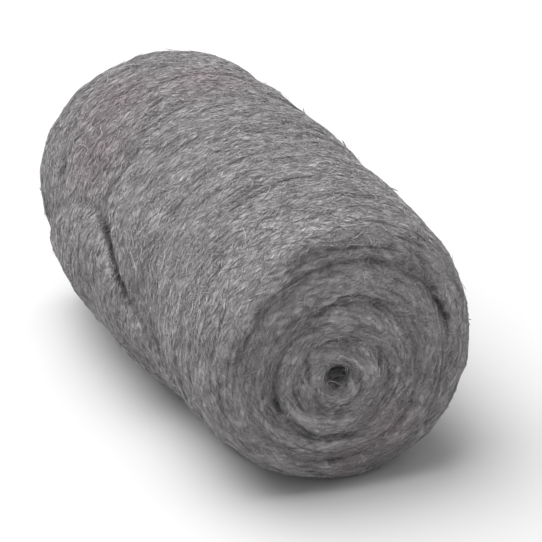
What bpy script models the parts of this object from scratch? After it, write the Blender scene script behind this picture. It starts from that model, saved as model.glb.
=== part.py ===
"""A roll of steel wool, lying on its side.

One long band of wool is wound up on itself. It is modelled flat first, as a sheet with
thickness, rounded long edges and a tongue-shaped tail. Then it is wound into a spiral round
the X axis, dented, slumped under its own weight and set down on a small flat spot at Z = 0.
Sizes are in metres. Angles round the roll run clockwise from the top, seen from its +X end.
"""

import math

import bmesh
import bpy
from mathutils import Vector

ROLL_RADIUS = 0.050
ROLL_LENGTH = 0.172

# The band: how much one turn adds, and the slit between a turn and the one under it.
TURN_PITCH = 0.011
TURN_GAP = 0.0006
EDGE_ROUNDING = 0.0035

# The band starts thin, wound round a small open eye.
EYE_RADIUS = 0.0025
START_THICKNESS = 0.004

# The tail is the band's loose end: a thin tongue whose tip lies on the barrel.
TAIL_THICKNESS = 0.0045
TAIL_TIP_ANGLE = math.radians(-73.5)
TAIL_TIP_X = -0.022
TAIL_TIP_ROUNDING = 0.028
TAIL_SLANT_PER_METRE = math.radians(1250)
TAIL_RIM_ROUNDING = math.radians(24)
TAIL_RIM_SHARE = 0.25

# The turns thicken from the tail's thickness to the full pitch over this much winding.
THICKENING = math.radians(120)

# The ends are domes, steepest at the rim, and the shoulders are pulled in towards them.
DOME_HEIGHT = 0.007
DOME_STEEPNESS = 6
SHOULDER_LENGTH = 0.034
SHOULDER_PULL = 0.12
SHOULDER_STEEPNESS = 2.5

# Each turn's edge stands out a little here and sinks a little there, in two slow waves.
EDGE_WANDER = 0.0016
EDGE_WAVES = (1.7, 0.6)
EDGE_NEARNESS = 4

# The eye has sunk below the roll's middle and to one side, and the turns round it less and less.
EYE_SHIFT_Y = -0.004
EYE_SHIFT_Z = -0.008

# Soft rings along the barrel.
RING_SWELL = 0.0006
RING_SPACING = 0.042

# Where the wool is slack or swollen. Each place is X, its reach along X, its angle round the
# roll, its reach in angle and how deep it is.
HOLLOWS = (
    (0.030, 0.017, math.radians(-115), math.radians(55), 0.0036),
    (0.044, 0.011, math.radians(5), math.radians(45), 0.0010),
    (-0.055, 0.014, math.radians(55), math.radians(45), 0.0028),
    (0.082, 0.012, math.radians(80), math.radians(45), 0.0020),
    (-0.076, 0.018, math.radians(-10), math.radians(45), 0.0030),
)
SWELLINGS = (
    (-0.022, 0.030, math.radians(-125), math.radians(40), 0.0018),
    (-0.062, 0.018, math.radians(-60), math.radians(40), 0.0008),
)

# Under its own weight the underside gives, and it ends in a flat spot. Hollows and swellings
# fade towards it, the more sharply the higher the steepness.
SOFT_HEIGHT = 0.012
SOFTNESS = 0.45
FLAT_DEPTH = 0.0014
GROUND_STEEPNESS = 4

# How finely the band is divided. The steps crowd towards the tail, where the turns are large.
STATIONS_PER_TURN = 24
STATION_CROWDING = 1.25
BODY_COLUMNS = 18
EDGE_COLUMNS = 3

STEEL_COLOUR = (0.33, 0.325, 0.33, 1.0)
STEEL_ROUGHNESS = 0.45

FULL_TURN = 2 * math.pi


def clear_scene():
    for obj in list(bpy.data.objects):
        bpy.data.objects.remove(obj, do_unlink=True)


def steel_wool():
    material = bpy.data.materials.new("steel_wool")
    material.use_nodes = True
    shader = material.node_tree.nodes["Principled BSDF"]
    shader.inputs["Base Color"].default_value = STEEL_COLOUR
    shader.inputs["Metallic"].default_value = 1.0
    shader.inputs["Roughness"].default_value = STEEL_ROUGHNESS
    material.diffuse_color = STEEL_COLOUR
    return material


def thickening_growth(angle):
    """How much radius the thickening stretch of winding has taken up after this angle."""
    gain = (TURN_PITCH - TAIL_THICKNESS) / THICKENING
    return (TAIL_THICKNESS * angle + gain * angle**2 / 2) / FULL_TURN


def turn_radius(back):
    """Radius of the band's outer side, at an angle counted back from the tail's tip."""
    lap_radius = ROLL_RADIUS - TAIL_THICKNESS * min(back / FULL_TURN, 1)
    inner = max(back - FULL_TURN, 0)
    thickening = min(inner, THICKENING)
    return lap_radius - thickening_growth(thickening) - TURN_PITCH * (inner - thickening) / FULL_TURN


def total_winding():
    """The angle from the band's start, at the eye, to the tail's tip."""
    thickened = FULL_TURN + THICKENING
    room = turn_radius(thickened) - START_THICKNESS - EYE_RADIUS
    return thickened + room / TURN_PITCH * FULL_TURN


WINDING = total_winding()
STATIONS = math.ceil(STATIONS_PER_TURN * WINDING / FULL_TURN)
COLUMNS = BODY_COLUMNS + 2 * EDGE_COLUMNS


def tail_lag(x):
    """How far behind its tip the tail's rim lies, at this place along the roll."""
    away = math.hypot(x - TAIL_TIP_X, TAIL_TIP_ROUNDING) - TAIL_TIP_ROUNDING
    return TAIL_SLANT_PER_METRE * away


def rim_share(from_rim):
    """The tail's share of its full thickness, at an angle back from its rounded rim."""
    short = max(0, 1 - from_rim / TAIL_RIM_ROUNDING)
    return max(TAIL_RIM_SHARE, math.sqrt(1 - short**2))


def across(share):
    """Maps -1 to 1 across the flat band to its place there and its share of full thickness."""
    body = BODY_COLUMNS / COLUMNS
    straight = 1 - EDGE_ROUNDING / (ROLL_LENGTH / 2)
    if abs(share) <= body:
        return straight * share / body, 1.0
    turned = (abs(share) - body) / (1 - body) * math.pi / 2
    place = straight + (1 - straight) * math.sin(turned)
    return math.copysign(place, share), math.cos(turned)


def edge_wander(place, back):
    """How far the band's edge strays along the roll, at a place across it and an angle back."""
    quick, slow = EDGE_WAVES
    wave = math.sin(quick * back + place) * math.sin(slow * back)
    return EDGE_WANDER * wave * place**EDGE_NEARNESS


def wind(along, share, side):
    """Winds up a point of the flat band: 0 to 1 along, -1 to 1 across, side 0 or 1.

    Returns its place along the roll, its distance from the axis and its angle.
    """
    place, fullness = across(share)
    from_rim = WINDING * (1 - along) ** STATION_CROWDING
    loose = max(0, 1 - from_rim / FULL_TURN)
    back = from_rim + loose * tail_lag(place * ROLL_LENGTH / 2)

    outer = turn_radius(back)
    inner = max(turn_radius(back + FULL_TURN) + TURN_GAP, EYE_RADIUS)
    outer = inner + (outer - inner) * rim_share(from_rim)
    middle = (outer + inner) / 2
    radius = middle + (side - 0.5) * (outer - inner) * fullness

    half_length = ROLL_LENGTH / 2 - DOME_HEIGHT * (radius / ROLL_RADIUS) ** DOME_STEEPNESS
    return place * half_length + edge_wander(place, back), radius, TAIL_TIP_ANGLE - back


def bump(distance, width):
    return math.exp(-((distance / width) ** 2))


def at_places(places, x, angle):
    """The depth that a list of places gives at this point of the barrel."""
    depth = 0
    for place_x, reach_x, place_angle, reach_angle, deepest in places:
        turned = (angle - place_angle + math.pi) % FULL_TURN - math.pi
        depth += deepest * bump(x - place_x, reach_x) * bump(turned, reach_angle)
    return depth


def barrel_relief(x, angle):
    """How far the barrel stands out or in from a plain cylinder, which it is underneath."""
    ring = RING_SWELL * math.cos(FULL_TURN * x / RING_SPACING + math.sin(angle))
    off_ground = 1 - max(0, -math.cos(angle)) ** GROUND_STEEPNESS
    return off_ground * (ring + at_places(SWELLINGS, x, angle) - at_places(HOLLOWS, x, angle))


def slump(x, radius, angle):
    """Gives a wound point the roll's soft shape."""
    share = radius / ROLL_RADIUS
    into_shoulder = max(0, (abs(x) - ROLL_LENGTH / 2 + SHOULDER_LENGTH) / SHOULDER_LENGTH)
    radius *= 1 - SHOULDER_PULL * into_shoulder**SHOULDER_STEEPNESS
    radius += share * barrel_relief(x, angle)

    sunk = 1 - share**2
    y = radius * math.sin(angle) + EYE_SHIFT_Y * sunk
    z = radius * math.cos(angle) + EYE_SHIFT_Z * sunk
    pressed = max(0, -z - (ROLL_RADIUS - SOFT_HEIGHT))
    return Vector((x, y, z + SOFTNESS * pressed**2 / (2 * SOFT_HEIGHT)))


def flat_band():
    """A sheet one unit long, two across and one thick, divided for winding."""
    band = bmesh.new()
    bmesh.ops.create_grid(band, x_segments=STATIONS, y_segments=COLUMNS, size=1.0)
    bmesh.ops.solidify(band, geom=band.faces[:], thickness=1.0)
    low = min(vertex.co.z for vertex in band.verts)
    for vertex in band.verts:
        vertex.co.x = (vertex.co.x + 1) / 2
        vertex.co.z -= low
    return band


def set_down(band):
    """Presses the flat spot, stands it at Z = 0 and centres the roll over the origin."""
    floor = min(vertex.co.z for vertex in band.verts) + FLAT_DEPTH
    xs = [vertex.co.x for vertex in band.verts]
    ys = [vertex.co.y for vertex in band.verts]
    origin = Vector(((min(xs) + max(xs)) / 2, (min(ys) + max(ys)) / 2, floor))
    for vertex in band.verts:
        vertex.co.z = max(vertex.co.z, floor)
        vertex.co -= origin


def wound_roll():
    band = flat_band()
    for vertex in band.verts:
        vertex.co = slump(*wind(*vertex.co))
    bmesh.ops.remove_doubles(band, verts=band.verts[:], dist=1e-6)
    bmesh.ops.recalc_face_normals(band, faces=band.faces[:])
    set_down(band)

    mesh = bpy.data.meshes.new("steel_wool_roll")
    band.to_mesh(mesh)
    band.free()
    mesh.shade_smooth()
    return bpy.data.objects.new("steel_wool_roll", mesh)


def main():
    clear_scene()
    roll = wound_roll()
    roll.data.materials.append(steel_wool())
    collection = bpy.data.collections.new("steel_wool_roll")
    bpy.context.scene.collection.children.link(collection)
    collection.objects.link(roll)


main()
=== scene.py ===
"""The looks of the roll of steel wool.

The wound solid is replaced by a matted body, whose skin is worked out from it. Short steel
strands are combed over the body along the winding, some loose ones stand off it, and a few
hang across the eye at each end. Sizes are in metres. Angles round the roll run clockwise
from the top, seen from its +X end.
"""

import math

import bmesh
import bpy
import numpy as np
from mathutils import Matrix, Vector, noise
from mathutils.bvhtree import BVHTree


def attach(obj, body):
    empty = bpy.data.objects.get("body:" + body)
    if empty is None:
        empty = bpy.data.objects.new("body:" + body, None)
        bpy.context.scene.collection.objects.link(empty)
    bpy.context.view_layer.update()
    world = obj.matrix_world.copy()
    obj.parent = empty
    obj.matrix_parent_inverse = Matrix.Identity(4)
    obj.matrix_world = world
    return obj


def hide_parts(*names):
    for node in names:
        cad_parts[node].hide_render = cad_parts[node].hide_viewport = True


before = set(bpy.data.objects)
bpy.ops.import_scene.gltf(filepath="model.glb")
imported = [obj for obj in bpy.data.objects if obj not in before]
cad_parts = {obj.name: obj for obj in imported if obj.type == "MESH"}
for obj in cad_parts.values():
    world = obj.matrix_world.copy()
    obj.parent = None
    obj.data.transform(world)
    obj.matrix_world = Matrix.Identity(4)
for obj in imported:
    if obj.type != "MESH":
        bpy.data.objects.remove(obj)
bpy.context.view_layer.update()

SEED = 7
NODE = "steel_wool_roll"
JOIN_DISTANCE = 1e-6
NEARLY_ZERO = 1e-12

# The view, from the photograph's outline.
CAMERA_AIM = Vector((0.0071, 0.0079, 0.0395))
CAMERA_AZIMUTH = math.radians(67.5)
CAMERA_ELEVATION = math.radians(25.5)
CAMERA_DISTANCE = 1.0
CAMERA_LENS = 205.4
CAMERA_SENSOR = 36.0
CAMERA_NEAREST = 0.05

# The roll's size, its axis, and how far the winding's middle sinks from that towards the eye.
ROLL_RADIUS = 0.050
ROLL_LENGTH = 0.172
AXIS_Y = 0.0016
AXIS_Z = 0.0454
EYE_SHIFT_Y = -0.004
EYE_SHIFT_Z = -0.008

# The body's skin: its grain, and the rounds of smoothing that soften it.
SKIN_STEP = 0.0011
SKIN_SOFTENING = 2

# The grooves between the turns: the rounds of smoothing that would close them, the least and
# the most that they are closed, the patches in which that changes, and how deep one is when
# its painted shade is full.
GROOVE_SOFTENING = 40
GROOVE_CLOSING = (0.1, 0.95)
GROOVE_PATCH = 0.014
GROOVE_PATCH_CONTRAST = 1.6
GROOVE_DEPTH = 0.0016

# Soft lumps all over.
LUMP_HEIGHT = 0.0006
LUMP_SIZE = 0.009

# The tail's edge, which runs as it does in the solid and lies only on the barrel, past this
# share of the radius.
TAIL_TIP_ANGLE = math.radians(-73.5)
TAIL_TIP_X = -0.022
TAIL_TIP_ROUNDING = 0.028
TAIL_SLANT_PER_METRE = math.radians(1250)
BARREL_SHARE = 0.8
FAR_OFF = 1.0

# The crease in front of that edge is deepest at one place along the roll and fades from it.
# The edge itself is a lip, which is closed like a groove.
CREASE_DEPTH = 0.0013
CREASE_WIDTH = 0.0017
CREASE_MIDDLE_X = 0.000
CREASE_REACH_X = 0.011
CREASE_FAINTEST = 0.25
LIP_CLOSING = 0.85
LIP_REACH = 0.006

# Pockets, where the wool is loose and dark gaps show: shallow dents with fewer strands, darkened
# with painted shade. Each is a place, its reach across the winding and along it, its lean off the
# winding and how deep it is.
POCKETS = (
    ((0.0850, -0.0020, 0.0385), 0.0026, 0.0045, 0.0, 0.0008),
    ((0.0840, -0.0125, 0.0430), 0.0014, 0.0045, 0.0, 0.0007),
    ((0.0855, 0.0115, 0.0420), 0.0018, 0.0030, 0.0, 0.0008),
    ((0.0830, -0.0215, 0.0340), 0.0011, 0.0040, 0.0, 0.0007),
    ((0.0840, -0.0120, 0.0235), 0.0010, 0.0110, 0.0, 0.0007),
    ((0.0840, 0.0030, 0.0200), 0.0010, 0.0050, 0.0, 0.0005),
    ((0.0830, -0.0020, 0.0098), 0.0010, 0.0070, 0.0, 0.0007),
    ((0.0850, 0.0240, 0.0260), 0.0012, 0.0022, 0.0, 0.0005),
    ((0.0840, 0.0335, 0.0580), 0.0010, 0.0100, 0.0, 0.0006),
    ((0.0838, -0.0040, 0.0745), 0.0010, 0.0060, 0.0, 0.0006),
    ((0.0850, -0.0050, 0.0650), 0.0010, 0.0090, 0.0, 0.0007),
    ((-0.0530, -0.0430, 0.0600), 0.0050, 0.0080, 0.0, 0.0005),
    ((0.0550, -0.0440, 0.0430), 0.0010, 0.0100, math.radians(-35), 0.0006),
)
POCKET_RAGGEDNESS = 0.0012
RAGGED_SIZE = 0.003

# How much darker the crease and the pockets are painted than a groove of the same depth: painted
# shade.
HOLLOW_SHADE = 2.2

# Strands: how many in each piece, how long and thick they are, how far they stray, and their
# tones. Most are thin. Fewer start in a pocket.
STRAND_PIECES = 4
STRANDS_PER_PIECE = 32000
STRAND_POINTS = 3
STRAND_LENGTH = (0.0025, 0.0080)
STRAND_RADIUS = (0.00005, 0.00021)
STRAND_THINNESS = 2
STRAND_SCATTER = math.radians(40)
STRAND_FLOW = math.radians(22)
FLOW_SIZE = 0.030
STRAND_BEND = math.radians(8)
STRAND_LIFT = (-0.00005, 0.00035)
STRAND_WEAVE = 0.00012
STRAND_WAVES = (0.6, 1.8)
STRAND_TONES = (0.0, 1.0)
POCKET_BARENESS = 0.6

# Loose strands, each with one end that stands off the roll.
LOOSE_STRANDS = 500
LOOSE_POINTS = 7
LOOSE_LENGTH = (0.004, 0.011)
LOOSE_BEND = math.radians(8)
LOOSE_RISE = 0.0011

# Strands across the eye at each end: its middle, how many they are, how far they reach from
# it, how far they stray from straight across it and how deep they hang in it.
EYE_MIDDLE_Y = -0.0018
EYE_MIDDLE_Z = 0.0390
EYE_STRANDS = 22
EYE_REACH = 0.0048
EYE_STRAY = math.radians(35)
EYE_SAG = (0.0012, 0.0065)

# Fibres drawn on the body, which shows between the strands, and the most that their tone is.
# The fibres are the wool's grain; the dark ground between them is painted shade under the strands.
GROUND_TONE = 0.35
LINE_SPACING = 0.00016
LINE_LENGTH = 0.0035
LINE_SHARPNESS = 5.0
LINE_LEANS = tuple(math.radians(lean) for lean in (-30, -8, 12, 35))
LINE_RELIEF = 0.6

# The tone: what a mean strand has, how far strands differ, and the tufts and layers that they
# gather in, each with its width, its length, its lean and how far it differs.
MEAN_TONE = 0.60
STRAND_CONTRAST = 0.20
TUFTS = (
    (0.0005, 0.0018, math.radians(25), 0.45),
    (0.0011, 0.0045, math.radians(-12), 0.60),
    (0.0060, 0.0120, 0.0, 0.35),
)
# How much the painted shade in the grooves, the crease and the pockets darkens the tone.
PAINTED_DEPTH_SHADE = 0.8

# Seams: thin dark lines of painted shade, for the gaps between the wool's layers, where this
# drawn-out noise is low.
SEAM_WIDTH = 0.0017
SEAM_LENGTH = 0.030
SEAM_LEVEL = 0.42
SEAM_SHARPNESS = 9.0
PAINTED_SEAM_SHADE = 0.40

# The colours of tone 0 and tone 1.
DARKEST = (0.012, 0.0117, 0.0119, 1)
LIGHTEST = (0.66, 0.641, 0.650, 1)

# Faintly warm places: on the barrel near the far end, and low on the near end.
WARM_PLACES = (
    ((-0.050, -0.024, 0.083), 0.024),
    ((-0.036, -0.036, 0.072), 0.022),
    ((-0.038, 0.002, 0.090), 0.020),
    ((0.085, 0.016, 0.020), 0.012),
    ((0.084, 0.004, 0.010), 0.012),
)
WARM_TINT = (1.0, 0.93, 0.945, 1)

METALLIC = 0.8
ROUGHNESS = 0.75

# The light: how strong the white world is as a light, a large lamp above the roll, and the floor.
WORLD_STRENGTH = 0.36
LAMP_PLACE = (-0.90, -1.05, 3.60)
LAMP_SIZE = 3.9
LAMP_POWER = 200.0
FLOOR_SIZE = 8
FLOOR_COLOUR = (0.80, 0.80, 0.80, 1)
FLOOR_ROUGHNESS = 0.9
FLOOR_CLEARANCE = 0.0003


def join_split_corners(mesh):
    """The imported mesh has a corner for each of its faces; this makes them one surface again."""
    joined = bmesh.new()
    joined.from_mesh(mesh)
    bmesh.ops.remove_doubles(joined, verts=joined.verts[:], dist=JOIN_DISTANCE)
    joined.to_mesh(mesh)
    joined.free()


def evaluated_mesh(body):
    """The body's mesh with its modifiers applied, which are then taken off it."""
    evaluated = body.evaluated_get(bpy.context.evaluated_depsgraph_get())
    mesh = bpy.data.meshes.new_from_object(evaluated)
    body.modifiers.clear()
    return mesh


def felted_body():
    """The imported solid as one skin, in which the slits between its turns end in soft grooves."""
    solid = bpy.data.objects[NODE]
    body = bpy.data.objects.new("wool_body", solid.data.copy())
    bpy.context.scene.collection.objects.link(body)
    join_split_corners(body.data)
    rounded = body.modifiers.new("rounded", "SUBSURF")
    rounded.levels = 1
    skin = body.modifiers.new("skin", "REMESH")
    skin.mode = "VOXEL"
    skin.voxel_size = SKIN_STEP
    softened = body.modifiers.new("softened", "SMOOTH")
    softened.iterations = SKIN_SOFTENING
    body.data = evaluated_mesh(body)
    return body


def smoothed_points(body, rounds):
    """The body's points after so many rounds of smoothing, with the body left as it is."""
    smooth = body.modifiers.new("smooth", "SMOOTH")
    smooth.iterations = rounds
    return mesh_points(evaluated_mesh(body))


def mesh_points(mesh):
    """The mesh's points, a row each."""
    points = np.empty(len(mesh.vertices) * 3)
    mesh.vertices.foreach_get("co", points)
    return points.reshape(-1, 3)


def mesh_normals(mesh):
    """The normals at the mesh's points, a row each."""
    normals = np.empty(len(mesh.vertices) * 3)
    mesh.vertex_normals.foreach_get("vector", normals)
    return normals.reshape(-1, 3)


def noise_at(points, size, octaves):
    """Smooth noise at many points, about -1 to 1, each octave half as wide and strong as the last."""
    return np.array([noise.fractal(Vector(point / size), 1.0, 2.0, octaves) for point in points])


def wrapped(angles):
    """The same angles between minus and plus half a turn."""
    return (angles + math.pi) % (2 * math.pi) - math.pi


def winding_place(points):
    """Each point's place on the profile from barrel to near end, its angle and its radius."""
    y, z = points[:, 1] - AXIS_Y, points[:, 2] - AXIS_Z
    radius = np.hypot(y, z)
    return points[:, 0] - radius, np.arctan2(y, z), radius


def past_tail(points):
    """How far each point of the barrel lies past the tail's edge; any other point is far off."""
    _, angle, radius = winding_place(points)
    across = points[:, 0] - TAIL_TIP_X
    lag = TAIL_SLANT_PER_METRE * (np.hypot(across, TAIL_TIP_ROUNDING) - TAIL_TIP_ROUNDING)
    away = wrapped(angle - TAIL_TIP_ANGLE + lag) * radius
    return np.where(radius > BARREL_SHARE * ROLL_RADIUS, away, FAR_OFF)


def tail_crease(points):
    """How deep the crease is at each point. Its middle is half its width past the tail's edge."""
    nearness = np.exp(-((points[:, 0] - CREASE_MIDDLE_X) / CREASE_REACH_X) ** 2)
    strength = CREASE_FAINTEST + (1 - CREASE_FAINTEST) * nearness
    away = past_tail(points) / CREASE_WIDTH - 0.5
    return CREASE_DEPTH * strength * np.exp(-away**2)


def hollowed(points):
    """How deep the tail's crease and the pockets are at each point."""
    ragged = POCKET_RAGGEDNESS * noise_at(points, RAGGED_SIZE, 2)
    profile, angle, radius = winding_place(points)
    depth = tail_crease(points)
    for place, reach_across, reach_along, lean, deepest in POCKETS:
        place_profile, place_angle, _ = winding_place(np.array([place]))
        across = profile - place_profile
        along = wrapped(angle - place_angle) * radius
        off_line = across * math.cos(lean) - along * math.sin(lean) + ragged
        on_line = across * math.sin(lean) + along * math.cos(lean)
        depth += deepest * np.exp(-(off_line / reach_across) ** 2 - (on_line / reach_along) ** 2)
    return depth


def darkness(depth):
    """0 on open wool to 1 in a full groove, rising late, so that grooves look narrow: how much shade
    is painted there.
    """
    return np.clip(depth / GROOVE_DEPTH, 0, 1) ** 2


def keep_shade(mesh, name, values):
    """Keeps a value for each point, which the material reads by this name."""
    kept = mesh.attributes.new(name, "FLOAT", "POINT")
    kept.data.foreach_set("value", values)


def soften_grooves(body):
    """Closes the grooves part of the way, more in some places; returns how deep they stay."""
    points = mesh_points(body.data)
    normals = mesh_normals(body.data)
    closed = smoothed_points(body, GROOVE_SOFTENING)
    low, high = GROOVE_CLOSING
    patches = np.clip(0.5 + GROOVE_PATCH_CONTRAST * noise_at(points, GROOVE_PATCH, 1), 0, 1)
    closing = low + (high - low) * patches
    lip = LIP_CLOSING * np.exp(-(past_tail(points) / LIP_REACH) ** 2)
    points += (closed - points) * np.maximum(closing, lip)[:, None]
    depth = np.einsum("ij,ij->i", closed - points, normals)
    points += normals * LUMP_HEIGHT * noise_at(points, LUMP_SIZE, 2)[:, None]
    body.data.vertices.foreach_set("co", points.ravel())
    body.data.update()
    return depth


def hollow_out(body, depth):
    """Sinks the crease and the pockets into the body, once the strands are combed over it."""
    points = mesh_points(body.data)
    hollows = hollowed(points)
    points -= mesh_normals(body.data) * hollows[:, None]
    points[:, 2] = np.maximum(points[:, 2], FLOOR_CLEARANCE)
    body.data.vertices.foreach_set("co", points.ravel())
    # The depth attribute holds painted shade: darker in the grooves, the crease and the pockets.
    keep_shade(body.data, "depth", darkness(depth + HOLLOW_SHADE * hollows))
    body.data.shade_smooth()
    body.data.update()


def tree_of(mesh):
    """The mesh's faces, ready to be searched for the nearest."""
    points = [vertex.co.copy() for vertex in mesh.vertices]
    faces = [tuple(face.vertices) for face in mesh.polygons]
    return BVHTree.FromPolygons(points, faces)


def unit(vectors):
    """The same directions at length 1."""
    return vectors / (np.linalg.norm(vectors, axis=-1, keepdims=True) + NEARLY_ZERO)


def turned(vectors, axes, angles):
    """Vectors turned about axes square to them."""
    return vectors * np.cos(angles)[:, None] + np.cross(axes, vectors) * np.sin(angles)[:, None]


def winding_directions(points):
    """The way the band runs: round the roll's middle, which sinks towards the eye."""
    outward = points - (0, AXIS_Y, AXIS_Z)
    outward[:, 0] = 0
    share = np.minimum(1, np.linalg.norm(outward, axis=1) / ROLL_RADIUS)
    outward -= np.array((0, EYE_SHIFT_Y, EYE_SHIFT_Z)) * (1 - share**2)[:, None]
    return unit(np.cross((1.0, 0.0, 0.0), outward))


def nearest(tree, points):
    """The nearest places of the surface, and the normals and faces there."""
    found = [tree.find_nearest(point) for point in points.tolist()]
    places = np.array([tuple(hit[0]) for hit in found])
    normals = np.array([tuple(hit[1]) for hit in found])
    return places, normals, np.array([hit[2] for hit in found])


def strand_paths(tree, here, normal, face, rng, loose):
    """The points of strands that run over the surface, and the normals and faces there."""
    count = len(here)
    steps = (LOOSE_POINTS if loose else STRAND_POINTS) - 1
    length = rng.uniform(*(LOOSE_LENGTH if loose else STRAND_LENGTH), count)
    bend = rng.normal(0, LOOSE_BEND if loose else STRAND_BEND, count)
    lift = rng.uniform(*STRAND_LIFT, count)
    phase = rng.uniform(0, 2 * math.pi, count)
    waves = rng.uniform(*STRAND_WAVES, count)
    turn = STRAND_FLOW * noise_at(here, FLOW_SIZE, 1) + rng.normal(0, STRAND_SCATTER, count)
    way = unit(turned(winding_directions(here), normal, turn)) * rng.choice((-1, 1), count)[:, None]
    paths, normals, faces = [], [], []
    for step in range(steps + 1):
        if step > 0:
            way = turned(way, normal, bend)
            here, normal, face = nearest(tree, here + way * (length / steps)[:, None])
            way = unit(way - normal * np.einsum("ij,ij->i", way, normal)[:, None])
        along = step / steps
        rise = lift + STRAND_WEAVE * np.sin(phase + waves * 2 * math.pi * along)
        if loose:
            rise += LOOSE_RISE * along**2
        paths.append(here + normal * rise[:, None])
        normals.append(normal)
        faces.append(face)
    return np.stack(paths, axis=1), np.stack(normals, axis=1), np.stack(faces, axis=1)


def strand_corners(paths, normals, radii):
    """Each strand's points: its tip, a ring of three at each point between, and its other tip."""
    along = unit(np.gradient(paths, axis=1))
    side = unit(np.cross(along, normals))
    up = np.cross(side, along)
    corners = []
    for corner in range(3):
        turn = 2 * math.pi * corner / 3
        offset = side * math.cos(turn) + up * math.sin(turn)
        corners.append(paths[:, 1:-1] + offset[:, 1:-1] * radii[:, None, None])
    tube = np.stack(corners, axis=2).reshape(len(paths), -1, 3)
    return np.concatenate([paths[:, :1], tube, paths[:, -1:]], axis=1)


def strand_faces(rings):
    """The faces of one strand with so many rings, by the numbers of its points."""
    last = 1 + 3 * (rings - 1)
    far_tip = last + 3
    faces = []
    for corner in range(3):
        after = (corner + 1) % 3
        faces.append((0, 1 + after, 1 + corner))
        for ring in range(rings - 1):
            low, high = 1 + 3 * ring, 4 + 3 * ring
            faces.append((low + corner, low + after, high + after, high + corner))
        faces.append((last + corner, last + after, far_tip))
    return faces


def at_corners(values):
    """Values at each point of the strands' paths, given to the points of their meshes."""
    return np.hstack([values[:, :1], np.repeat(values[:, 1:-1], 3, axis=1), values[:, -1:]])


def strand_mesh(name, paths, normals, radii, shades):
    """Closed three-sided strands, pointed at both ends, as one mesh, with shades at each point."""
    vertices = strand_corners(paths, normals, radii)
    faces = strand_faces(paths.shape[1] - 2)
    starts = np.arange(len(paths))[:, None] * vertices.shape[1]
    corners = (starts + np.concatenate(faces)[None, :]).ravel()
    sizes = np.tile([len(face) for face in faces], len(paths))

    mesh = bpy.data.meshes.new(name)
    mesh.vertices.add(starts.size * vertices.shape[1])
    mesh.vertices.foreach_set("co", vertices.ravel())
    mesh.loops.add(len(corners))
    mesh.loops.foreach_set("vertex_index", corners)
    mesh.polygons.add(len(sizes))
    mesh.polygons.foreach_set("loop_start", np.cumsum(sizes) - sizes)
    for shade, values in shades.items():
        keep_shade(mesh, shade, at_corners(values).ravel())
    mesh.update(calc_edges=True)
    mesh.validate()
    return mesh


def random_starts(mesh, count, rng):
    """Places spread over the mesh by area, fewer in its hollows, and their normals and faces.

    A face with three corners counts its first corner twice.
    """
    faces = mesh.polygons
    corners = mesh_points(mesh)[[(tuple(face.vertices) * 2)[:4] for face in faces]]
    bareness = POCKET_BARENESS * darkness(HOLLOW_SHADE * hollowed(corners.mean(axis=1)))
    weights = np.array([face.area for face in faces]) * (1 - bareness)
    picks = rng.choice(len(faces), count, p=weights / weights.sum())
    shares = rng.dirichlet(np.ones(4), count)
    places = np.einsum("ij,ijk->ik", shares, corners[picks])
    normals = np.array([tuple(face.normal) for face in faces])
    return places, normals[picks], picks


def strand_piece(name, paths, normals, depth, rng):
    """Strands of random thickness and tone along these paths, sunk into the hollows."""
    hollows = hollowed(paths.reshape(-1, 3)).reshape(paths.shape[:2])
    paths = paths - normals * hollows[:, :, None]
    paths[:, :, 2] = np.maximum(paths[:, :, 2], FLOOR_CLEARANCE)
    low, high = STRAND_RADIUS
    radii = low + (high - low) * rng.random(len(paths)) ** STRAND_THINNESS
    tones = np.repeat(rng.uniform(*STRAND_TONES, len(paths))[:, None], paths.shape[1], axis=1)
    # The depth shade is painted shade: darker in the grooves, the crease and the pockets.
    shades = {"tone": tones, "depth": darkness(depth + HOLLOW_SHADE * hollows)}
    strands = bpy.data.objects.new(name, strand_mesh(name, paths, normals, radii, shades))
    bpy.context.scene.collection.objects.link(strands)
    return strands


def lay_strands(name, mesh, tree, depth, count, rng, loose=False):
    """One piece of strands over the mesh, which has this depth of groove at each of its points."""
    paths, normals, faces = strand_paths(tree, *random_starts(mesh, count, rng), rng, loose)
    first_corners = np.array([face.vertices[0] for face in mesh.polygons])
    return strand_piece(name, paths, normals, depth[first_corners[faces]], rng)


def lay_eye_strands(rng):
    """Strands that hang across the eye's opening at both ends."""
    count = 2 * EYE_STRANDS
    outward = np.repeat((1, -1), EYE_STRANDS)[:, None] * np.array((1.0, 0.0, 0.0))
    angle = rng.uniform(0, 2 * math.pi, count)
    across = angle + math.pi + rng.normal(0, EYE_STRAY, count)
    sag = rng.uniform(*EYE_SAG, count)
    along = np.linspace(0, 1, LOOSE_POINTS)[None, :]
    y = EYE_REACH * (np.cos(angle)[:, None] * (1 - along) + np.cos(across)[:, None] * along)
    z = EYE_REACH * (np.sin(angle)[:, None] * (1 - along) + np.sin(across)[:, None] * along)
    x = ROLL_LENGTH / 2 - sag[:, None] * np.sin(math.pi * along)
    paths = np.stack([x * outward[:, :1], EYE_MIDDLE_Y + y, EYE_MIDDLE_Z + z], axis=2)
    normals = np.repeat(outward[:, None, :], LOOSE_POINTS, axis=1)
    return strand_piece("eye_strands", paths, normals, np.zeros(paths.shape[:2]), rng)


def comb_strands(mesh, depth, material):
    """All the strands, in their pieces."""
    rng = np.random.default_rng(SEED)
    tree = tree_of(mesh)
    pieces = []
    for piece in range(STRAND_PIECES):
        name = f"strands_{piece + 1}"
        pieces.append(lay_strands(name, mesh, tree, depth, STRANDS_PER_PIECE, rng))
    pieces.append(lay_strands("loose_strands", mesh, tree, depth, LOOSE_STRANDS, rng, loose=True))
    pieces.append(lay_eye_strands(rng))
    for strands in pieces:
        strands.data.materials.append(material)
    return pieces


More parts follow.
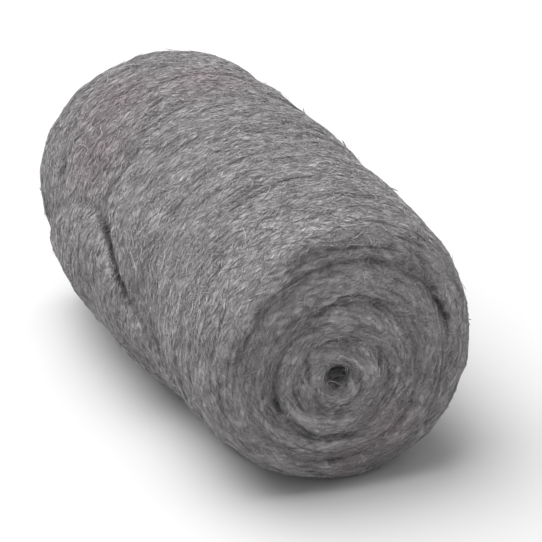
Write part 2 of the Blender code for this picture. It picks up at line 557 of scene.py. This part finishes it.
def new_material(name):
    material = bpy.data.materials.new(name)
    material.use_nodes = True
    return material, material.node_tree.nodes, material.node_tree.links


def maths(nodes, links, operation, first, second=None):
    """A Math node's output; each input is another output or a number."""
    node = nodes.new("ShaderNodeMath")
    node.operation = operation
    for socket, value in zip(node.inputs, (first, second)):
        if value is None:
            continue
        if isinstance(value, (int, float)):
            socket.default_value = value
        else:
            links.new(value, socket)
    return node.outputs["Value"]


def length_of(nodes, links, first, second):
    """The length of a vector with these two parts."""
    squares = [maths(nodes, links, "MULTIPLY", part, part) for part in (first, second)]
    return maths(nodes, links, "SQRT", maths(nodes, links, "ADD", *squares))


def winding_coordinates(nodes, links):
    """A point as its place along the roll, its distance from the middle and its arc, in metres."""
    place = nodes.new("ShaderNodeTexCoord")
    parts = nodes.new("ShaderNodeSeparateXYZ")
    links.new(place.outputs["Object"], parts.inputs["Vector"])
    y = maths(nodes, links, "SUBTRACT", parts.outputs["Y"], AXIS_Y)
    z = maths(nodes, links, "SUBTRACT", parts.outputs["Z"], AXIS_Z)
    share = maths(nodes, links, "DIVIDE", length_of(nodes, links, y, z), ROLL_RADIUS)
    share = maths(nodes, links, "MINIMUM", share, 1.0)
    sunk = maths(nodes, links, "SUBTRACT", 1.0, maths(nodes, links, "MULTIPLY", share, share))
    y = maths(nodes, links, "SUBTRACT", y, maths(nodes, links, "MULTIPLY", sunk, EYE_SHIFT_Y))
    z = maths(nodes, links, "SUBTRACT", z, maths(nodes, links, "MULTIPLY", sunk, EYE_SHIFT_Z))
    radius = length_of(nodes, links, y, z)
    arc = maths(nodes, links, "MULTIPLY", maths(nodes, links, "ARCTAN2", y, z), radius)
    joined = nodes.new("ShaderNodeCombineXYZ")
    for socket, value in zip(joined.inputs, (parts.outputs["X"], radius, arc)):
        links.new(value, socket)
    return joined.outputs["Vector"]


def stretched_noise(nodes, links, coordinates, lean, width, length):
    """Noise drawn out along the winding, leaning off it by an angle: about 0 to 1."""
    turned = nodes.new("ShaderNodeMapping")
    turned.inputs["Rotation"].default_value = (lean, lean, 0)
    stretched = nodes.new("ShaderNodeMapping")
    stretched.inputs["Scale"].default_value = (1 / width, 1 / width, 1 / length)
    field = nodes.new("ShaderNodeTexNoise")
    field.inputs["Scale"].default_value = 1.0
    field.inputs["Detail"].default_value = 1.0
    links.new(coordinates, turned.inputs["Vector"])
    links.new(turned.outputs["Vector"], stretched.inputs["Vector"])
    links.new(stretched.outputs["Vector"], field.inputs["Vector"])
    return field.outputs["Fac"]


def fibre_lines(nodes, links, coordinates):
    """Thin crossing lines of grain on a ground darkened as painted shade."""
    lines = 0.0
    for lean in LINE_LEANS:
        field = stretched_noise(nodes, links, coordinates, lean, LINE_SPACING, LINE_LENGTH)
        off_line = maths(nodes, links, "ABSOLUTE", maths(nodes, links, "SUBTRACT", field, 0.5))
        faded = maths(nodes, links, "MULTIPLY", off_line, LINE_SHARPNESS)
        line = maths(nodes, links, "SUBTRACT", 1.0, faded)
        lines = maths(nodes, links, "MAXIMUM", lines, line)
    return maths(nodes, links, "MULTIPLY", lines, GROUND_TONE)


def kept_shade(nodes, name):
    """The value that each point keeps by this name."""
    node = nodes.new("ShaderNodeAttribute")
    node.attribute_name = name
    return node.outputs["Fac"]


def seams(nodes, links, coordinates):
    """1 in a seam of painted shade, 0 beside it."""
    field = stretched_noise(nodes, links, coordinates, 0.0, SEAM_WIDTH, SEAM_LENGTH)
    below = maths(nodes, links, "SUBTRACT", SEAM_LEVEL, field)
    sharpened = maths(nodes, links, "MULTIPLY", below, SEAM_SHARPNESS)
    return maths(nodes, links, "MINIMUM", maths(nodes, links, "MAXIMUM", sharpened, 0.0), 1.0)


def shaded_tone(nodes, links, coordinates, grain):
    """The grain's tone, gathered in tufts, with painted shade in the hollows and the seams: about 0
    to 1.
    """
    off_mean = maths(nodes, links, "SUBTRACT", grain, 0.5)
    contrasted = maths(nodes, links, "MULTIPLY", off_mean, STRAND_CONTRAST)
    tone = maths(nodes, links, "ADD", contrasted, MEAN_TONE)
    for width, length, lean, contrast in TUFTS:
        tuft = stretched_noise(nodes, links, coordinates, lean, width, length)
        off_mean = maths(nodes, links, "SUBTRACT", tuft, 0.5)
        tone = maths(nodes, links, "ADD", tone, maths(nodes, links, "MULTIPLY", off_mean, contrast))
    # Painted shade: darker in the grooves, the crease and the pockets, and along the seams.
    hollow_painted_shade = kept_shade(nodes, "depth")
    seam = seams(nodes, links, coordinates)
    for dark, share in ((hollow_painted_shade, PAINTED_DEPTH_SHADE), (seam, PAINTED_SEAM_SHADE)):
        left = maths(nodes, links, "SUBTRACT", 1.0, maths(nodes, links, "MULTIPLY", dark, share))
        tone = maths(nodes, links, "MULTIPLY", tone, left)
    return tone


def near_warm_places(nodes, links):
    """1 at the middle of a place where the wool looks faintly warm, fading to 0 around it."""
    point = nodes.new("ShaderNodeTexCoord").outputs["Object"]
    nearness = 0.0
    for place, reach in WARM_PLACES:
        away = nodes.new("ShaderNodeVectorMath")
        away.operation = "DISTANCE"
        away.inputs[1].default_value = place
        links.new(point, away.inputs[0])
        share = maths(nodes, links, "DIVIDE", away.outputs["Value"], reach)
        near = maths(nodes, links, "SUBTRACT", 1.0, share)
        nearness = maths(nodes, links, "MAXIMUM", nearness, near)
    return nearness


def wool_material(name, grain_of):
    """Steel wool, whose grain comes from the given function of its nodes, links and coordinates.

    Returns the material, its nodes, its links and the grain.
    """
    material, nodes, links = new_material(name)
    shader = nodes["Principled BSDF"]
    coordinates = winding_coordinates(nodes, links)
    grain = grain_of(nodes, links, coordinates)
    shades = nodes.new("ShaderNodeValToRGB")
    shades.color_ramp.elements[0].color = DARKEST
    shades.color_ramp.elements[1].color = LIGHTEST
    links.new(shaded_tone(nodes, links, coordinates, grain), shades.inputs["Fac"])
    warmed = nodes.new("ShaderNodeMixRGB")
    warmed.blend_type = "MULTIPLY"
    warmed.inputs["Color2"].default_value = WARM_TINT
    links.new(near_warm_places(nodes, links), warmed.inputs["Fac"])
    links.new(shades.outputs["Color"], warmed.inputs["Color1"])
    links.new(warmed.outputs["Color"], shader.inputs["Base Color"])
    shader.inputs["Metallic"].default_value = METALLIC
    shader.inputs["Roughness"].default_value = ROUGHNESS
    return material, nodes, links, grain


def body_material():
    """The body's wool, on which the fibres are drawn and stand out a little."""
    material, nodes, links, grain = wool_material("matted_wool", fibre_lines)
    bump = nodes.new("ShaderNodeBump")
    bump.inputs["Distance"].default_value = LINE_SPACING / 2
    bump.inputs["Strength"].default_value = LINE_RELIEF
    links.new(grain, bump.inputs["Height"])
    links.new(bump.outputs["Normal"], nodes["Principled BSDF"].inputs["Normal"])
    return material


def strand_tones(nodes, links, coordinates):
    """Each strand's own tone, the same all along it."""
    return kept_shade(nodes, "tone")


def strand_material():
    return wool_material("steel_strands", strand_tones)[0]


def place_camera():
    """Looks at the aim from an azimuth that is 0 for a view along +Y."""
    data = bpy.data.cameras.new("camera")
    data.sensor_width = CAMERA_SENSOR
    data.lens = CAMERA_LENS
    data.clip_start = CAMERA_NEAREST
    away = Vector((
        math.cos(CAMERA_ELEVATION) * math.sin(CAMERA_AZIMUTH),
        -math.cos(CAMERA_ELEVATION) * math.cos(CAMERA_AZIMUTH),
        math.sin(CAMERA_ELEVATION),
    ))
    camera = bpy.data.objects.new("camera", data)
    camera.location = CAMERA_AIM + away * CAMERA_DISTANCE
    camera.rotation_euler = away.to_track_quat("Z", "Y").to_euler()
    bpy.context.scene.collection.objects.link(camera)
    bpy.context.scene.camera = camera


def area_lamp(name, place, size, power):
    """A square lamp that faces the origin."""
    data = bpy.data.lights.new(name, "AREA")
    data.size = size
    data.energy = power
    lamp = bpy.data.objects.new(name, data)
    lamp.location = place
    lamp.rotation_euler = Vector(place).to_track_quat("Z", "Y").to_euler()
    bpy.context.scene.collection.objects.link(lamp)


def light_studio():
    """White where it is seen or mirrored, dimmer as a light, so that the shadows keep some depth."""
    world = bpy.data.worlds.new("studio")
    bpy.context.scene.world = world
    world.use_nodes = True
    nodes, links = world.node_tree.nodes, world.node_tree.links
    seen = nodes["Background"]
    seen.inputs["Color"].default_value = (1, 1, 1, 1)
    seen.inputs["Strength"].default_value = 1.0
    cast = nodes.new("ShaderNodeBackground")
    cast.inputs["Color"].default_value = (1, 1, 1, 1)
    cast.inputs["Strength"].default_value = WORLD_STRENGTH
    path = nodes.new("ShaderNodeLightPath").outputs
    is_seen = maths(nodes, links, "MAXIMUM", path["Is Camera Ray"], path["Is Glossy Ray"])
    is_seen = maths(nodes, links, "MAXIMUM", is_seen, path["Is Transmission Ray"])
    choose = nodes.new("ShaderNodeMixShader")
    links.new(is_seen, choose.inputs["Fac"])
    links.new(cast.outputs["Background"], choose.inputs[1])
    links.new(seen.outputs["Background"], choose.inputs[2])
    links.new(choose.outputs["Shader"], nodes["World Output"].inputs["Surface"])
    area_lamp("key", LAMP_PLACE, LAMP_SIZE, LAMP_POWER)


def lay_floor():
    bpy.ops.mesh.primitive_plane_add(size=FLOOR_SIZE)
    floor = bpy.context.object
    floor.name = "floor"
    material, nodes, _ = new_material("floor")
    shader = nodes["Principled BSDF"]
    shader.inputs["Base Color"].default_value = FLOOR_COLOUR
    shader.inputs["Roughness"].default_value = FLOOR_ROUGHNESS
    floor.data.materials.append(material)


bpy.context.scene.view_settings.view_transform = "Standard"
place_camera()
light_studio()
lay_floor()

body = felted_body()
groove_depth = soften_grooves(body)
strands = comb_strands(body.data, groove_depth, strand_material())
hollow_out(body, groove_depth)
body.data.materials.clear()
body.data.materials.append(body_material())
pieces = [body] + strands
for piece in pieces:
    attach(piece, "root")
    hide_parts(NODE)

bpy.context.view_layer.update()
